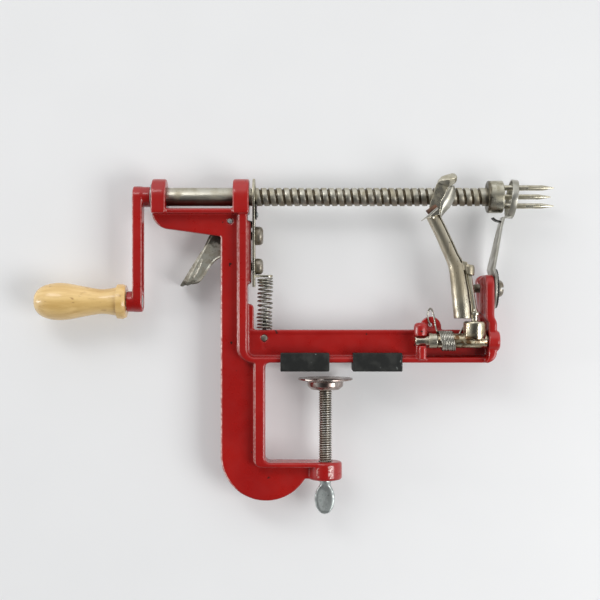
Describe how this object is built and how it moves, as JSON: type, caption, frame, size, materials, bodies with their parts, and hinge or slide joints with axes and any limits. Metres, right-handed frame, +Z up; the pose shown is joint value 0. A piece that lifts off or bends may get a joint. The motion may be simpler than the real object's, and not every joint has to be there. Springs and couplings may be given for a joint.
{
  "type": "apple peeler corer",
  "caption": "Hand-cranked apple peeler, corer and slicer: a screw-fed fork turns the fruit past a sprung peeling arm and a ring cutter, on a frame that clamps to a table edge.",
  "frame": {"origin": "where the clamp screw's axis meets the underside of the rubber table pads", "axes": "+X along the feed screw from the crank to the fork; +Z up, away from the clamp; +Y away from the operator's side"},
  "size_m": [0.3113, 0.0346, 0.2035],
  "materials": {
    "red_enamel": "glossy baked enamel over a die casting",
    "feed_steel": "plated steel, dull with age",
    "bright_nickel": "nickel-plated steel",
    "spring_steel": "oiled spring wire",
    "zinc_clamp": "zinc-plated steel",
    "dished_steel": "polished pressed steel",
    "blackened_steel": "blackened steel",
    "rusty_steel": "discoloured steel",
    "sleeve_steel": "worn plating with a brown tint",
    "stainless_blade": "stainless sheet",
    "black_rubber": "matt moulded rubber",
    "oak_handle": "clear-lacquered turned wood"
  },
  "bodies": {
    "base": {"frame": "red_enamel", "rear_pad": "black_rubber", "front_pad": "black_rubber", "release_pivot_pin": "zinc_clamp", "guide_screws": "bright_nickel", "release_spring": "spring_steel", "spring_guide": "zinc_clamp", "spring_cross_pin": "zinc_clamp", "peeler_pivot_pin": "bright_nickel", "torsion_spring": "spring_steel", "slicer_spacer": "zinc_clamp", "slicer_lock_washer": "blackened_steel", "slicer_screw": "zinc_clamp"},
    "feed_carriage": {"thrust_washer": "zinc_clamp"},
    "crank": {"feed_screw": "feed_steel", "fork_hub": "bright_nickel", "fork_prongs": "bright_nickel", "fork_grub_screw": "blackened_steel", "crank_arm": "red_enamel", "handle_spindle": "zinc_clamp", "handle_retaining_ring": "spring_steel"},
    "grip": {"wood_handle": "oak_handle"},
    "pressure_disc": {"clamp_disc": "dished_steel"},
    "clamp_spindle": {"clamp_screw": "zinc_clamp", "clamp_rivet_head": "zinc_clamp"},
    "thumb_lever": {"release_lever": "bright_nickel"},
    "feed_nut": {"nut_carrier": "bright_nickel", "half_nut": "blackened_steel", "half_nut_rivets": "zinc_clamp"},
    "peeler_base": {"pivot_block": "sleeve_steel", "pivot_spacer": "bright_nickel"},
    "peeler_head": {"swivel_stem": "bright_nickel", "stem_washer": "bright_nickel", "peeler_arm": "bright_nickel", "blade_holder": "bright_nickel", "peeler_blade": "stainless_blade", "blade_pivot_block": "rusty_steel", "depth_guard": "stainless_blade"},
    "slicer": {"slicer_arm": "stainless_blade", "corer_ring": "stainless_blade", "chip_lip": "blackened_steel"}
  },
  "joints": [
    {"name": "feed_slide", "type": "slide", "parent": "base", "child": "feed_carriage", "axis": [1, 0, 0], "range_m": [-0.134, 0]},
    {"name": "crank_turn", "type": "hinge", "parent": "feed_carriage", "child": "crank", "pos_m": [-0.104, 0, 0.1041], "axis": [1, 0, 0], "range_deg": [-10710, 0]},
    {"name": "handle_spin", "type": "hinge", "parent": "crank", "child": "grip", "pos_m": [-0.147, 0, 0.0414], "axis": [1, 0, 0], "continuous": true},
    {"name": "clamp_travel", "type": "slide", "parent": "base", "child": "pressure_disc", "axis": [0, 0, 1], "range_m": [-0.0423, 0.00338]},
    {"name": "clamp_turn", "type": "hinge", "parent": "pressure_disc", "child": "clamp_spindle", "pos_m": [0, 0, -0.04], "axis": [0, 0, 1], "range_deg": [-10800, 864]},
    {"name": "release_squeeze", "type": "hinge", "parent": "base", "child": "thumb_lever", "pos_m": [-0.057, 0, 0.0895], "axis": [0, 1, 0], "range_deg": [0, 8], "stiffness_Nm_per_rad": 0.4, "springref_deg": -14.32},
    {"name": "half_nut_drop", "type": "slide", "parent": "base", "child": "feed_nut", "axis": [0, 0, 1], "range_m": [-0.0021, 0], "deforming": ["release_spring"]},
    {"name": "peeler_swing", "type": "hinge", "parent": "base", "child": "peeler_base", "pos_m": [0.08, -0.0105, 0.0182], "axis": [1, 0, 0], "range_deg": [0, 50], "stiffness_Nm_per_rad": 0.08, "springref_deg": -34.38, "deforming": ["torsion_spring"]},
    {"name": "peeler_swivel", "type": "hinge", "parent": "peeler_base", "child": "peeler_head", "pos_m": [0.0881, -0.0105, 0.03], "axis": [0, 0, 1], "range_deg": [-8, 12]},
    {"name": "slicer_adjust", "type": "hinge", "parent": "base", "child": "slicer", "pos_m": [0.1012, 0, 0.0492], "axis": [1, 0, 0], "range_deg": [-1.8, 1.8]}
  ],
  "couplings": [
    {"joint": "feed_slide", "follows": "crank_turn", "m_per_rad": 0.0007162},
    {"joint": "clamp_turn", "follows": "clamp_travel", "rad_per_m": 4456.2},
    {"joint": "half_nut_drop", "follows": "release_squeeze", "m_per_rad": -0.0142}
  ]
}
